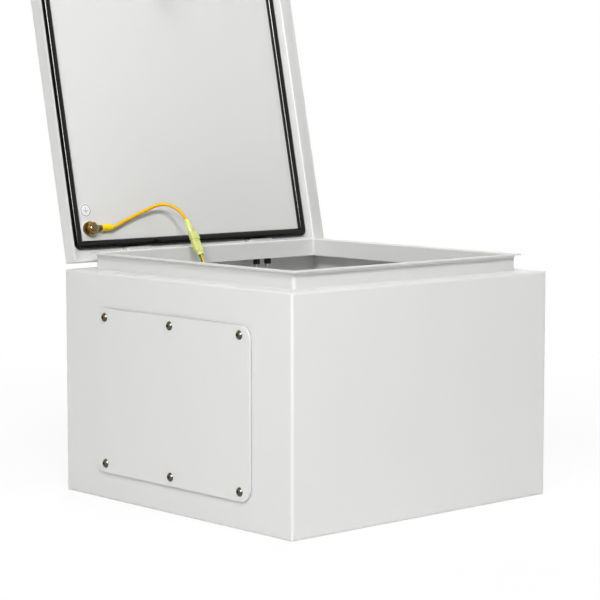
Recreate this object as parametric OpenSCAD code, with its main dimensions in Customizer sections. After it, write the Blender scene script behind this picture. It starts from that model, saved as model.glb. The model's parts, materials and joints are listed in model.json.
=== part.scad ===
// Wall enclosure of folded sheet steel, lying on its back with the door swung open.
// All sizes are in millimetres. The origin is the middle of the back's outside, +Z points out of the back,
// the door hangs on the +Y side and the gland plate closes the -X wall.
// Door pieces are drawn in their closed place and then swung open about the hinge pins.

/* [Body] */
// Width of the body along the hinge line
body_w = 400; // [380:5:600]
// Height of the body from the lock side to the hinge side
body_h = 400; // [380:5:600]
// Depth of the body from the back to the ledge
body_d = 264; // [250:1:350]
// Thickness of the folded sheet
sheet = 1.5; // [1.2:0.1:1.8]
// Outside radius of the sheet's bends
bend_r = 3; // [2.5:0.1:4]
// Distance from the wall's outside to the neck's outside
neck_inset = 26; // [25:0.5:29]
// Height of the neck above the ledge
neck_rise = 20; // [18:0.5:24]
// Corner radius of the neck and the lip in plan
neck_corner_r = 4; // [3:0.1:6]
// Reach of the lip beyond the neck
lip_reach = 6; // [4:0.5:7]
// Radius of the bend between the neck and the lip, on the mouth's edge
lip_edge_r = 2; // [1:0.1:2.2]
// Radius of the cove under the lip, where it turns out from the neck
lip_cove_r = 4.5; // [2:0.1:5.5]
// Diameter of the four wall fixing holes in the back
wall_hole_d = 8.5; // [6:0.5:10]
// Distance from the body's outside to a wall fixing hole
wall_hole_inset = 20; // [16:0.5:24]

/* [Door] */
// Depth of the door's folded rim
door_depth = 20; // [18:0.5:21]
// Space between the lip and the inside of the closed door's panel
seal_gap = 6.5; // [6.3:0.1:8]
// Angle of the open door, where the hinge arms stop it
door_open = 102; // [92:1:104]
// Width of the door seal
seal_w = 10.5; // [8:0.5:11]
// Height of the door seal
seal_h = 6; // [5.6:0.1:6.2]
// Distance from the door's edge to the middle of the seal
seal_inset = 21; // [20.5:0.5:24]
// Outside corner radius of the seal
seal_corner_r = 8; // [7:0.5:12]

/* [Hinges] */
// Distance between the middles of the two hinges
hinge_span = 195; // [120:1:240]
// Distance from the body's hinge side to the pin
pin_inset = 9.6; // [9.4:0.1:10.2]
// Distance from the door's outside to the pin
pin_drop = 11; // [10.6:0.1:11.6]
// Diameter of the hinge pins
pin_d = 6; // [4:0.1:7]
// Running clearance round a pin, on the radius
pin_clear = 0.05; // [0.03:0.01:0.08]
// Thickness of a pin's end heads
pin_head_t = 1.5; // [1:0.1:2]
// Outside diameter of the hinge knuckles
knuckle_d = 11; // [9.5:0.1:12]
// Width of the middle knuckle, on the body
base_knuckle_w = 14; // [10:0.5:20]
// Width of each outer knuckle, on the door
leaf_knuckle_w = 10; // [6:0.5:12]
// Side play between two knuckles
knuckle_gap = 0.4; // [0.3:0.05:0.6]
// Thickness of the arm below the middle knuckle
hinge_arm_t = 6; // [5:0.1:7]
// Thickness of a hinge base on the ledge
hinge_base_t = 3; // [2.5:0.1:3.2]
// Length of a hinge base along the hinge line
hinge_base_w = 42; // [40:0.5:60]
// Depth of a hinge base across the ledge
hinge_base_h = 18; // [17:0.1:18.5]
// Thickness of a hinge leaf on the door
hinge_leaf_t = 2.5; // [2:0.1:3]
// Depth of a hinge leaf across the door's edge
hinge_leaf_h = 11.6; // [10:0.1:12]
// Diameter of a hinge base's two studs
hinge_stud_d = 5; // [4:0.5:6]
// Distance between a hinge base's two studs
hinge_stud_pitch = 18.5; // [16:0.5:26]
// Distance from the pin back to the studs, towards the neck
hinge_stud_back = 3.4; // [3:0.1:5]
// Height of a hinge nut
hinge_nut_h = 8; // [3:0.1:9]
// Width across the flats of a hinge nut
hinge_nut_af = 8; // [7:0.5:10]
// Length of a stud that stands past its nut
stud_tip = 4; // [1:0.5:8]

/* [Gland plate] */
// Length of the gland plate along the wall
gland_plate_l = 272; // [220:1:300]
// Height of the gland plate
gland_plate_h = 191; // [150:1:210]
// Thickness of the gland plate
gland_plate_t = 2; // [1.5:0.1:3]
// Corner radius of the gland plate
gland_plate_r = 15; // [8:0.5:20]
// Height of the gland plate's middle above the back
gland_plate_z = 128; // [115:1:140]
// Distance from a corner screw to the plate's end
gland_screw_end = 16.7; // [12:0.1:20]
// Distance from a screw to the plate's long edge
gland_screw_edge = 10.3; // [8:0.1:14]
// Diameter of the gland plate screws
gland_screw_d = 5; // [4:0.5:6]
// Diameter of a gland screw's domed head
gland_head_d = 10.5; // [9:0.1:12]
// Height of a gland screw's domed head
gland_head_h = 3.2; // [2.5:0.1:4]
// Thickness of the pressed gland seal
gland_seal_t = 1.5; // [1:0.1:2]
// Width of the gland seal
gland_seal_w = 8; // [5:0.5:9]
// Distance from the screws to the cut-out's edge
gland_cutout_back = 15; // [15:0.5:22]

/* [Mounting plate] */
// Distance from the body's outside to the mounting plate's edge
mounting_plate_inset = 35; // [32:0.5:50]
// Thickness of the mounting plate
mounting_plate_t = 2; // [1.5:0.1:3]
// Height of the studs' collars, which carry the plate
mounting_stand = 15; // [10:0.5:30]
// Diameter of the mounting studs
mounting_stud_d = 8; // [6:0.5:10]
// Distance from the mounting plate's edge to a stud
mounting_stud_inset = 15; // [12:0.5:25]

/* [Earth bonding] */
// Diameter of the earth studs
earth_stud_d = 8; // [6:0.5:8]
// Width across the flats of an earth nut
earth_nut_af = 13; // [10:0.5:14]
// Height of an earth nut with its flange
earth_nut_h = 8; // [6:0.5:9]
// Diameter of an earth nut's flange
earth_flange_d = 17; // [15:0.5:18]
// Thickness of the contact washers
contact_washer_t = 1.6; // [1.4:0.1:2.5]
// Distance from the door's side to its earth stud
door_earth_side = 39; // [37.5:0.5:60]
// Distance from the door's hinge edge to its earth stud
door_earth_edge = 40.5; // [39:0.5:60]
// Distance from the body's middle to its earth stud, towards the gland plate
body_earth_side = 95; // [80:1:120]
// Height of the body's earth stud above the back
body_earth_z = 190; // [150:1:200]
// Thickness of a ring terminal's tongue
tongue_t = 1.2; // [0.8:0.1:1.6]
// Width of a ring terminal's tongue
tongue_w = 8; // [5:0.5:9]
// Distance from a ring terminal's hole to its sleeve
sleeve_start = 16; // [14:0.5:20]
// Length of a ring terminal's sleeve
sleeve_l = 17; // [14:0.5:20]
// Outside diameter of a ring terminal's sleeve
sleeve_d = 8.4; // [7.6:0.1:8.8]
// Wall of a ring terminal's sleeve
sleeve_wall = 1.1; // [0.8:0.1:1.1]
// Diameter of the earth lead
lead_d = 4.2; // [3:0.1:4.6]
// Width of the two push-on connectors' shells
connector_w = 11; // [9:0.5:13]
// Thickness of the two push-on connectors' shells
connector_t = 6.5; // [5.5:0.1:8]
// Diameter of the two push-on connectors' barrels
connector_barrel_d = 7.2; // [6:0.1:8]

/* [Lock] */
// Distance from the door's free edge to the lock's axis
lock_inset = 50; // [47:0.5:60]
// Diameter of the lock's barrel
lock_barrel_d = 22; // [20:0.5:23]
// Diameter of the lock's outside flange
lock_flange_d = 30; // [28:0.5:36]
// Thickness of the lock's outside flange
lock_flange_t = 4; // [3:0.1:6]
// Thickness of the seal under the lock's flange
lock_seal_t = 1.5; // [1:0.1:2]
// Height of the lock's hexagon nut
lock_nut_h = 6; // [4:0.5:8]
// Width across the flats of the lock's hexagon nut
lock_nut_af = 27; // [26:0.5:30]
// Diameter of the turning insert
lock_insert_d = 14; // [12:0.1:15]
// Thickness of the cam
cam_t = 3; // [2:0.1:4]
// Width of the cam
cam_w = 18; // [16:0.5:22]
// Reach of the cam from the lock's axis to its tip
cam_reach = 38; // [34:0.5:44]
// Space between the turned cam and the ledge
cam_clear = 0.8; // [0.5:0.1:1.5]

/* [Hidden] */
$fn = 64;

// Small values that many pieces share
eps = 0.5;
fit = 0.05;
hole_clear = 0.3;

// Body levels and widths
lip_z = body_d + neck_rise;
inside_w = body_w - 2 * sheet;
inside_h = body_h - 2 * sheet;
neck_w = body_w - 2 * neck_inset;
neck_h = body_h - 2 * neck_inset;
mouth_w = neck_w - 2 * sheet;
mouth_h = neck_h - 2 * sheet;
mouth_r = neck_corner_r - sheet;
cove_r = min(lip_cove_r, lip_reach - 1);
wall_x = body_w / 2;
wall_y = body_h / 2;

// Closed door levels, and the hinge line
panel_z = lip_z + seal_gap;
door_z = panel_z + sheet;
pin_y = wall_y - pin_inset;
pin_z = door_z - pin_drop;
left_hinge_x = -hinge_span / 2;
right_hinge_x = hinge_span / 2;

// Hinge parts
leaf_knuckle_x = base_knuckle_w / 2 + knuckle_gap;
hinge_stack_w = 2 * (leaf_knuckle_x + leaf_knuckle_w);
pin_head_d = pin_d + 2.5;
pin_head_gap = 0.1;
leaf_fold_gap = 1.5;
leaf_web_t = 8;
base_corner_r = 2.5;
base_front = 7;
notch_clear = 1.5;
stop_gap = 0.3;
lean = door_open - 90;
notch_top = pin_z + pin_inset * tan(lean) + hinge_arm_t / 2 / cos(lean) + stop_gap;
hinge_stud_y = pin_y - hinge_stud_back;

// Gland plate fixings
gland_screw_y = gland_plate_l / 2 - gland_screw_end;
gland_screw_z = gland_plate_h / 2 - gland_screw_edge;
gland_cutout_l = 2 * (gland_screw_y - gland_cutout_back);
gland_cutout_h = 2 * (gland_screw_z - gland_cutout_back);
gland_cutout_r = 8;
gland_seal_back = 1;
gland_screw_l = 16;
gland_socket_af = 3;
gland_socket_depth = 1.8;
rivet_wall = 1;
rivet_l = 9;
rivet_bulge_t = 3;
rivet_rim_d = gland_screw_d + 4.5;
rivet_hole_d = gland_screw_d + 2 * rivet_wall + 2 * fit;

// Mounting plate
mounting_plate_w = body_w - 2 * mounting_plate_inset;
mounting_plate_l = body_h - 2 * mounting_plate_inset;
mounting_plate_r = 5;
mounting_plate_z = sheet + mounting_stand;
mounting_stud_x = mounting_plate_w / 2 - mounting_stud_inset;
mounting_stud_y = mounting_plate_l / 2 - mounting_stud_inset;
mounting_collar_d = mounting_stud_d + 6;
mounting_nut_af = mounting_stud_d + 5;
mounting_nut_h = mounting_stud_d;
mounting_flange_d = mounting_stud_d + 9;

// Earth parts, measured from the face that carries the stud
flange_t = 2;
earth_stud_tip = 1.5;
earth_stud_l = contact_washer_t + tongue_t + earth_nut_h + earth_stud_tip;
barrel_d = sleeve_d - 2 * sleeve_wall;
barrel_lift = contact_washer_t + barrel_d / 2;
lead_seat = 5;
barrel_l = sleeve_l - lead_seat;
barrel_end = sleeve_start + barrel_l;
barrel_root = 2;
ring_d = earth_stud_d + 7;
door_earth_x = -wall_x + door_earth_side;
door_earth_y = wall_y - door_earth_edge;

// Push-on connectors
shell_r = 2;
tab_w = 6.3;
tab_t = 0.8;
tab_l = 8;
tab_play = 0.2;
tab_gap = 0.3;
tab_shell_w = connector_w - 1;
socket_barrel_l = 12;
tab_barrel_l = 9;
tab_connector_l = 21.5;
connector_bore_d = lead_d + 2 * hole_clear;

// Lock levels below the door's outside
lock_y = -wall_y + lock_inset;
cam_top = body_d - sheet - cam_clear - door_z;
lock_barrel_end = cam_top + 0.4;
lock_bore_d = lock_insert_d + 2 * pin_clear;
cam_square = 8;
cam_screw_d = 6;
cam_screw_l = 12;
cam_screw_grip = 10;
cam_screw_head_h = 4;
cam_screw_af = cam_screw_d + 4;
cam_washer_d = cam_w - 4;
cam_washer_t = 1.2;
key_well_d = 10;
key_well_depth = 12;
key_post_d = 4.5;
key_bit_w = 1.6;
key_bit_l = 8;

// Earth lead, as places from the middle of the hinge line, with the door open
door_lead_route = [
    [-124, 11.2, 29.6], [-119, 11.4, 31.8], [-113, 11.8, 34.2], [-105, 12.4, 37], [-97, 12.9, 39.8],
    [-88.5, 13, 43], [-80.5, 12, 46], [-71.5, 11, 49.5], [-63.5, 9, 52.5], [-55.5, 5.5, 54],
    [-49, 0.5, 53], [-43.5, -5.5, 49], [-40, -12.5, 43]
];
socket_start = [-38, -19, 35.5];
connectors_meet = [-39, -35.5, 12];
connector_line = unit(connectors_meet - socket_start);
tab_end = connectors_meet + tab_connector_l * connector_line;
lead_in_socket = socket_start + lead_seat * connector_line;
lead_in_tab = tab_end - lead_seat * connector_line;
body_lead_route = [
    [-40, -52.5, -13], [-40, -56, -22.5], [-40, -57, -33], [-39.5, -56, -43.5], [-38.5, -53, -54],
    [-37.5, -48, -63.5], [-37, -41.5, -72], [-37, -33.5, -79.5], [-38, -24.5, -85.5], [-40, -15.5, -89.5],
    [-43, -7.5, -91], [-48, -1.5, -91], [-54.5, 2, -91]
];

// Geometry of the swung door and of swept tubes
function from_pin(p) = [p[0], p[1] + pin_y, p[2] + pin_z];
function opened(p) = let (y = p[1] - pin_y, z = p[2] - pin_z)
    [p[0], pin_y + y * cos(door_open) + z * sin(door_open), pin_z - y * sin(door_open) + z * cos(door_open)];
function unit(v) = v / norm(v);
function before(path, i) = path[max(i - 1, 0)];
function after(path, i) = path[min(i + 1, len(path) - 1)];
function heading(path, i) = unit(after(path, i) - before(path, i));
function ring_at(path, i, r, sides) = let (
        t = heading(path, i),
        a = unit(cross(t, [0, 1, 0])),
        b = cross(a, t)
    ) [for (k = [0 : sides - 1]) path[i] + r * (cos(360 * k / sides) * a + sin(360 * k / sides) * b)];

// Turns the pieces of the closed door to the open place
module on_open_door() {
    translate([0, pin_y, pin_z])
        rotate([-door_open, 0, 0])
            translate([0, -pin_y, -pin_z])
                children();
}

// Stands a piece on the line from one point to another
module along(p, q) {
    d = q - p;
    translate(p)
        rotate([0, acos(d[2] / norm(d)), atan2(d[1], d[0])])
            children();
}

// Rectangle with round corners, about its middle
module rounded_rect(w, h, r) {
    square([w - 2 * r, h], center = true);
    square([w, h - 2 * r], center = true);
    for (x = [-1, 1], y = [-1, 1])
        translate([x * (w / 2 - r), y * (h / 2 - r)])
            circle(r);
}

// Block with every edge rounded, standing on its middle
module folded_block(w, h, d, r) {
    intersection() {
        linear_extrude(d)
            rounded_rect(w, h, r);
        translate([0, h / 2, d / 2])
            rotate([90, 0, 0])
                linear_extrude(h)
                    rounded_rect(w, d, r);
        translate([-w / 2, 0, d / 2])
            rotate([90, 0, 90])
                linear_extrude(w)
                    rounded_rect(h, d, r);
    }
}

// Section between a corner and a circle that touches both its sides, right of the corner and below it
module corner_section(r) {
    difference() {
        translate([-eps, -r])
            square([r + eps, r + eps]);
        translate([r, -r])
            circle(r);
    }
}

// Band of that section all round a rounded rectangle, with its top at z = 0
module corner_band(w, h, corner_r, r) {
    for (side = [0 : 3]) {
        across = side % 2 == 0 ? w : h;
        along = side % 2 == 0 ? h : w;
        run = along - 2 * corner_r;
        rotate(90 * side)
            translate([across / 2, run / 2, 0])
                rotate([90, 0, 0])
                    linear_extrude(run)
                        corner_section(r);
        rotate(90 * side)
            translate([across / 2 - corner_r, along / 2 - corner_r, 0])
                rotate_extrude(angle = 90)
                    translate([corner_r, 0])
                        corner_section(r);
    }
}

// Places of the six gland screws, with +Z out of the -X wall
module at_gland_screws() {
    for (y = [-gland_screw_y, 0, gland_screw_y], z = [-gland_screw_z, gland_screw_z])
        translate([-wall_x, y, gland_plate_z + z])
            rotate([0, -90, 0])
                children();
}

// Frame of the gland plate, with +Z out of the -X wall and X along its height
module at_gland_plate(out) {
    translate([-wall_x - out, 0, gland_plate_z])
        rotate([0, -90, 0])
            children();
}

// Places of the four mounting studs
module at_mounting_studs() {
    for (x = [-mounting_stud_x, mounting_stud_x], y = [-mounting_stud_y, mounting_stud_y])
        translate([x, y, 0])
            children();
}

// Places of a hinge base's two studs
module at_hinge_studs(hinge_x) {
    for (x = [-hinge_stud_pitch / 2, hinge_stud_pitch / 2])
        translate([hinge_x + x, hinge_stud_y, 0])
            children();
}

// Frame of the door's earth stud, with +Z off the panel's inside
module at_door_earth() {
    on_open_door()
        translate([door_earth_x, door_earth_y, panel_z])
            rotate([180, 0, 0])
                children();
}

// Frame of the body's earth stud, with +Z off the wall's inside
module at_body_earth() {
    translate([-body_earth_side, wall_y - sheet, body_earth_z])
        rotate([90, 0, 0])
            children();
}

// Frame of the lock, with +Z out of the door
module at_lock() {
    on_open_door()
        translate([0, lock_y, door_z])
            children();
}

// Cylinder along X about its middle
module x_cylinder(d, l) {
    rotate([0, 90, 0])
        cylinder(d = d, h = l, center = true);
}

// Hexagon prism with its upper corners chamfered
module hexagon(af, h) {
    slope = 1.7;
    intersection() {
        cylinder(d = af / cos(30), h = h, $fn = 6);
        cylinder(r1 = af / 2 + slope * h, r2 = af / 2, h = h);
    }
}

// Hexagon nut on its own flange
module flange_nut(bore, af, h, flange_d) {
    difference() {
        union() {
            cylinder(d = flange_d, h = flange_t);
            hexagon(af, h);
        }
        translate([0, 0, -eps])
            cylinder(d = bore + 2 * fit, h = h + 2 * eps);
    }
}

// Flat ring that stands on its middle
module ring(outside, inside, t) {
    difference() {
        cylinder(d = outside, h = t);
        translate([0, 0, -eps])
            cylinder(d = inside, h = t + 2 * eps);
    }
}

// Blind bore of a push-on connector, where the lead goes in
module lead_bore() {
    translate([0, 0, -eps])
        cylinder(d = connector_bore_d, h = lead_seat + eps);
}

// Closed tube swept along a path
module swept_tube(path, d) {
    sides = 10;
    rows = len(path);
    points = [for (i = [0 : rows - 1]) each ring_at(path, i, d / 2, sides)];
    skin = [for (i = [0 : rows - 2], k = [0 : sides - 1])
        let (n = (k + 1) % sides, row = i * sides)
            [row + k, row + n, row + sides + n, row + sides + k]];
    first_end = [for (k = [sides - 1 : -1 : 0]) k];
    last_end = [for (k = [0 : sides - 1]) (rows - 1) * sides + k];
    polyhedron(points = points, faces = concat(skin, [first_end, last_end]));
}

// One-piece welded body: back, four walls, ledge, neck and lip
module enclosure_body() {
    color("gainsboro")
        difference() {
            union() {
                difference() {
                    folded_block(body_w, body_h, body_d, bend_r);
                    translate([0, 0, sheet])
                        folded_block(inside_w, inside_h, body_d - 2 * sheet, bend_r - sheet);
                }
                translate([0, 0, body_d - sheet])
                    linear_extrude(neck_rise + sheet)
                        rounded_rect(neck_w, neck_h, neck_corner_r);
                translate([0, 0, lip_z - sheet])
                    linear_extrude(sheet)
                        rounded_rect(neck_w + 2 * lip_reach, neck_h + 2 * lip_reach, neck_corner_r);
                translate([0, 0, lip_z - sheet])
                    corner_band(neck_w, neck_h, neck_corner_r, cove_r);
            }
            translate([0, 0, body_d - sheet - eps])
                linear_extrude(neck_rise + sheet + 2 * eps)
                    rounded_rect(mouth_w, mouth_h, mouth_r);
            translate([0, 0, lip_z])
                corner_band(mouth_w, mouth_h, mouth_r, lip_edge_r);
            for (x = [-1, 1], y = [-1, 1])
                translate([x * (wall_x - wall_hole_inset), y * (wall_y - wall_hole_inset), -eps])
                    cylinder(d = wall_hole_d, h = sheet + 2 * eps);
            at_gland_plate(-sheet - eps)
                linear_extrude(sheet + 2 * eps)
                    rounded_rect(gland_cutout_h, gland_cutout_l, gland_cutout_r);
            at_gland_screws()
                translate([0, 0, -sheet - eps])
                    cylinder(d = rivet_hole_d, h = sheet + 2 * eps);
            for (hinge_x = [left_hinge_x, right_hinge_x])
                at_hinge_studs(hinge_x)
                    translate([0, 0, body_d - sheet - eps])
                        cylinder(d = hinge_stud_d + 2 * hole_clear, h = sheet + 2 * eps);
        }
}

// Plate that closes the cable cut-out
module gland_plate() {
    color("gainsboro")
        difference() {
            at_gland_plate(gland_seal_t)
                linear_extrude(gland_plate_t)
                    rounded_rect(gland_plate_h, gland_plate_l, gland_plate_r);
            at_gland_screws()
                translate([0, 0, gland_seal_t - eps])
                    cylinder(d = gland_screw_d + 2 * hole_clear, h = gland_plate_t + 2 * eps);
        }
}

// Flat seal round the cable cut-out
module gland_seal() {
    inner_h = gland_cutout_h + 2 * gland_seal_back;
    inner_l = gland_cutout_l + 2 * gland_seal_back;
    rim = 2 * gland_seal_w;
    color("dimgray")
        at_gland_plate(0)
            linear_extrude(gland_seal_t)
                difference() {
                    rounded_rect(inner_h + rim, inner_l + rim, gland_cutout_r + gland_seal_w);
                    rounded_rect(inner_h, inner_l, gland_cutout_r);
                }
}

// Six domed screws with hexagon sockets
module gland_screws() {
    dome_r = (pow(gland_head_d / 2, 2) + pow(gland_head_h, 2)) / (2 * gland_head_h);
    color("silver")
        at_gland_screws()
            translate([0, 0, gland_seal_t + gland_plate_t])
                difference() {
                    rotate_extrude() {
                        intersection() {
                            square([gland_head_d / 2, gland_head_h]);
                            translate([0, gland_head_h - dome_r])
                                circle(dome_r);
                        }
                        translate([0, -gland_screw_l])
                            square([gland_screw_d / 2, gland_screw_l + eps]);
                    }
                    translate([0, 0, gland_head_h - gland_socket_depth])
                        cylinder(d = gland_socket_af / cos(30), h = gland_socket_depth + eps, $fn = 6);
                }
}

// Six rivet nuts, set in the wall behind the gland plate
module gland_rivet_nuts() {
    barrel = gland_screw_d + 2 * rivet_wall;
    color("goldenrod")
        at_gland_screws()
            difference() {
                union() {
                    cylinder(d = rivet_rim_d, h = gland_seal_t);
                    translate([0, 0, -sheet - rivet_l])
                        cylinder(d = barrel, h = sheet + rivet_l + eps);
                    translate([0, 0, -sheet - rivet_bulge_t])
                        cylinder(d = rivet_rim_d, h = rivet_bulge_t);
                }
                translate([0, 0, -sheet - rivet_l - eps])
                    cylinder(d = gland_screw_d + 2 * fit, h = gland_seal_t + sheet + rivet_l + 2 * eps);
            }
}

// Plate that carries the fitted equipment
module mounting_plate() {
    color("lightsteelblue")
        difference() {
            translate([0, 0, mounting_plate_z])
                linear_extrude(mounting_plate_t)
                    rounded_rect(mounting_plate_w, mounting_plate_l, mounting_plate_r);
            at_mounting_studs()
                translate([0, 0, mounting_plate_z - eps])
                    cylinder(d = mounting_stud_d + 2 * hole_clear, h = mounting_plate_t + 2 * eps);
        }
}

// Four collared studs, welded to the back
module mounting_studs() {
    thread_l = mounting_plate_t + mounting_nut_h + stud_tip;
    color("silver")
        at_mounting_studs()
            translate([0, 0, sheet]) {
                cylinder(d = mounting_collar_d, h = mounting_stand);
                cylinder(d = mounting_stud_d, h = mounting_stand + thread_l);
            }
}

// Four flange nuts on the mounting studs
module mounting_nuts() {
    color("silver")
        at_mounting_studs()
            translate([0, 0, mounting_plate_z + mounting_plate_t])
                flange_nut(mounting_stud_d, mounting_nut_af, mounting_nut_h, mounting_flange_d);
}

// Body half of a hinge: base, studs, arm and middle knuckle
module hinge_base(hinge_x) {
    stud_l = sheet + hinge_nut_h + stud_tip;
    base_y = pin_y + base_front - hinge_base_h / 2;
    color("silver")
        difference() {
            union() {
                translate([hinge_x, base_y, body_d])
                    linear_extrude(hinge_base_t)
                        rounded_rect(hinge_base_w, hinge_base_h, base_corner_r);
                translate([hinge_x - base_knuckle_w / 2, pin_y - hinge_arm_t / 2, body_d])
                    cube([base_knuckle_w, hinge_arm_t, pin_z - body_d]);
                translate([hinge_x, pin_y, pin_z])
                    x_cylinder(knuckle_d, base_knuckle_w);
                at_hinge_studs(hinge_x)
                    translate([0, 0, body_d - stud_l])
                        cylinder(d = hinge_stud_d, h = stud_l + hinge_base_t / 2);
            }
            translate([hinge_x, pin_y, pin_z])
                x_cylinder(pin_d + 2 * pin_clear, base_knuckle_w + 2 * eps);
        }
}

module hinge_base_left() {
    hinge_base(left_hinge_x);
}

module hinge_base_right() {
    hinge_base(right_hinge_x);
}

// Hinge pin with a head at each end
module hinge_pin(hinge_x) {
    color("darkgray")
        translate([hinge_x, pin_y, pin_z]) {
            x_cylinder(pin_d, hinge_stack_w + 2 * pin_head_gap + eps);
            for (end = [-1, 1])
                translate([end * (hinge_stack_w / 2 + pin_head_gap + pin_head_t / 2), 0, 0])
                    x_cylinder(pin_head_d, pin_head_t);
        }
}

module hinge_pin_left() {
    hinge_pin(left_hinge_x);
}

module hinge_pin_right() {
    hinge_pin(right_hinge_x);
}

// Four hexagon nuts under the ledge
module hinge_nuts() {
    color("#202020")
        for (hinge_x = [left_hinge_x, right_hinge_x])
            at_hinge_studs(hinge_x)
                translate([0, 0, body_d - sheet])
                    rotate([180, 0, 0])
                        difference() {
                            hexagon(hinge_nut_af, hinge_nut_h);
                            translate([0, 0, -eps])
                                cylinder(d = hinge_stud_d + 2 * fit, h = hinge_nut_h + 2 * eps);
                        }
}

// Stud that stands off a face
module earth_stud() {
    cylinder(d = earth_stud_d, h = earth_stud_l);
}

// Washer between the face and the ring terminal
module earth_washer() {
    ring(earth_flange_d, earth_stud_d + 2 * hole_clear, contact_washer_t);
}

// Nut that clamps the ring terminal
module earth_nut() {
    translate([0, 0, contact_washer_t + tongue_t])
        flange_nut(earth_stud_d, earth_nut_af, earth_nut_h, earth_flange_d);
}

// Flat ring with a tongue that runs into a round barrel
module ring_terminal() {
    translate([0, 0, contact_washer_t])
        linear_extrude(tongue_t)
            difference() {
                union() {
                    circle(d = ring_d);
                    translate([0, -tongue_w / 2])
                        square([sleeve_start - barrel_root / 2, tongue_w]);
                }
                circle(d = earth_stud_d + 2 * hole_clear);
            }
    translate([sleeve_start - barrel_root, 0, barrel_lift])
        rotate([0, 90, 0])
            cylinder(d = barrel_d, h = barrel_l + barrel_root);
}

// Sleeve over the barrel, open where the lead goes in
module terminal_sleeve() {
    translate([sleeve_start, 0, barrel_lift])
        rotate([0, 90, 0])
            ring(sleeve_d, barrel_d + 2 * fit, sleeve_l);
}

module body_earth_stud() {
    color("silver")
        at_body_earth()
            earth_stud();
}

module body_earth_washer() {
    color("silver")
        at_body_earth()
            earth_washer();
}

module body_earth_nut() {
    color("goldenrod")
        at_body_earth()
            earth_nut();
}

module body_ring_terminal() {
    color("lightgray")
        at_body_earth()
            ring_terminal();
}

module body_terminal_sleeve() {
    color("gold")
        at_body_earth()
            terminal_sleeve();
}

// Lead from the tab connector down to the body's ring terminal
module earth_lead_body() {
    lead_end = [barrel_end - body_earth_side, wall_y - sheet - barrel_lift, body_earth_z];
    entry = lead_end + [lead_seat, 0, 0];
    route = [for (p = concat([lead_in_tab, tab_end], body_lead_route)) from_pin(p)];
    color("orange")
        swept_tube(concat(route, [entry, lead_end]), lead_d);
}

// Tab half of the push-on joint: barrel, shell and the flat tab
module lead_tab_connector() {
    reach = tab_connector_l - tab_gap;
    color("khaki")
        along(from_pin(tab_end), from_pin(connectors_meet))
            difference() {
                union() {
                    cylinder(d = connector_barrel_d, h = tab_barrel_l + eps);
                    translate([0, 0, tab_barrel_l])
                        linear_extrude(reach - tab_barrel_l)
                            rounded_rect(connector_t, tab_shell_w, shell_r);
                    translate([0, 0, reach - eps])
                        linear_extrude(tab_l + eps)
                            square([tab_t, tab_w], center = true);
                }
                lead_bore();
            }
}

// Door pan: panel with a folded rim, notched for the hinges
module door_panel() {
    notch_w = hinge_base_w + 2 * notch_clear;
    pan_h = 2 * door_depth;
    color("gainsboro")
        on_open_door()
            difference() {
                translate([0, 0, door_z - pan_h])
                    folded_block(body_w, body_h, pan_h, bend_r);
                translate([0, 0, door_z - pan_h + sheet])
                    folded_block(inside_w, inside_h, pan_h - 2 * sheet, bend_r - sheet);
                translate([-body_w, -body_h, door_z - pan_h - eps])
                    cube([2 * body_w, 2 * body_h, door_depth + eps]);
                for (hinge_x = [left_hinge_x, right_hinge_x])
                    translate([hinge_x - notch_w / 2, wall_y - sheet - eps, door_z - pan_h])
                        cube([notch_w, sheet + 2 * eps, notch_top - door_z + pan_h]);
                translate([0, lock_y, panel_z - eps])
                    cylinder(d = lock_barrel_d + 2 * hole_clear, h = sheet + 2 * eps);
            }
}

// Section of the door seal, half round on a low base
module seal_section() {
    round_r = seal_w / 2;
    intersection() {
        union() {
            translate([-round_r, 0])
                square([seal_w, seal_h - round_r]);
            translate([0, seal_h - round_r])
                circle(round_r);
        }
        translate([-round_r, 0])
            square([seal_w, seal_h]);
    }
}

// Foam seal in one closed loop on the panel's inside
module door_seal() {
    turn_r = seal_corner_r - seal_w / 2;
    color("#181818")
        on_open_door()
            translate([0, 0, panel_z])
                rotate([180, 0, 0])
                    for (side = [0 : 3]) {
                        across = (side % 2 == 0 ? body_w : body_h) / 2 - seal_inset;
                        along_y = (side % 2 == 0 ? body_h : body_w) / 2 - seal_inset - turn_r;
                        rotate(90 * side)
                            translate([across, along_y, 0])
                                rotate([90, 0, 0])
                                    linear_extrude(2 * along_y)
                                        seal_section();
                        rotate(90 * side)
                            translate([across - turn_r, along_y, 0])
                                rotate_extrude(angle = 90)
                                    intersection() {
                                        translate([turn_r, 0])
                                            seal_section();
                                        square(seal_corner_r + seal_h);
                                    }
                    }
}

// Door half of a hinge: leaf, webs and the two outer knuckles
module hinge_leaf(hinge_x) {
    leaf_top = wall_y - sheet - leaf_fold_gap;
    color("silver")
        on_open_door()
            difference() {
                union() {
                    translate([hinge_x - hinge_stack_w / 2, leaf_top - hinge_leaf_h, panel_z - hinge_leaf_t])
                        cube([hinge_stack_w, hinge_leaf_h, hinge_leaf_t]);
                    for (end = [-1, 1])
                        translate([hinge_x + end * (leaf_knuckle_x + leaf_knuckle_w / 2), pin_y, pin_z]) {
                            x_cylinder(knuckle_d, leaf_knuckle_w);
                            translate([-leaf_knuckle_w / 2, -leaf_web_t / 2, 0])
                                cube([leaf_knuckle_w, leaf_web_t, panel_z - pin_z - hinge_leaf_t / 2]);
                        }
                }
                translate([hinge_x, pin_y, pin_z])
                    x_cylinder(pin_d + 2 * pin_clear, hinge_stack_w + 2 * eps);
            }
}

module hinge_leaf_left() {
    hinge_leaf(left_hinge_x);
}

module hinge_leaf_right() {
    hinge_leaf(right_hinge_x);
}

module door_earth_stud() {
    color("silver")
        at_door_earth()
            earth_stud();
}

module door_earth_washer() {
    color("silver")
        at_door_earth()
            earth_washer();
}

module door_earth_nut() {
    color("goldenrod")
        at_door_earth()
            earth_nut();
}

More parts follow.
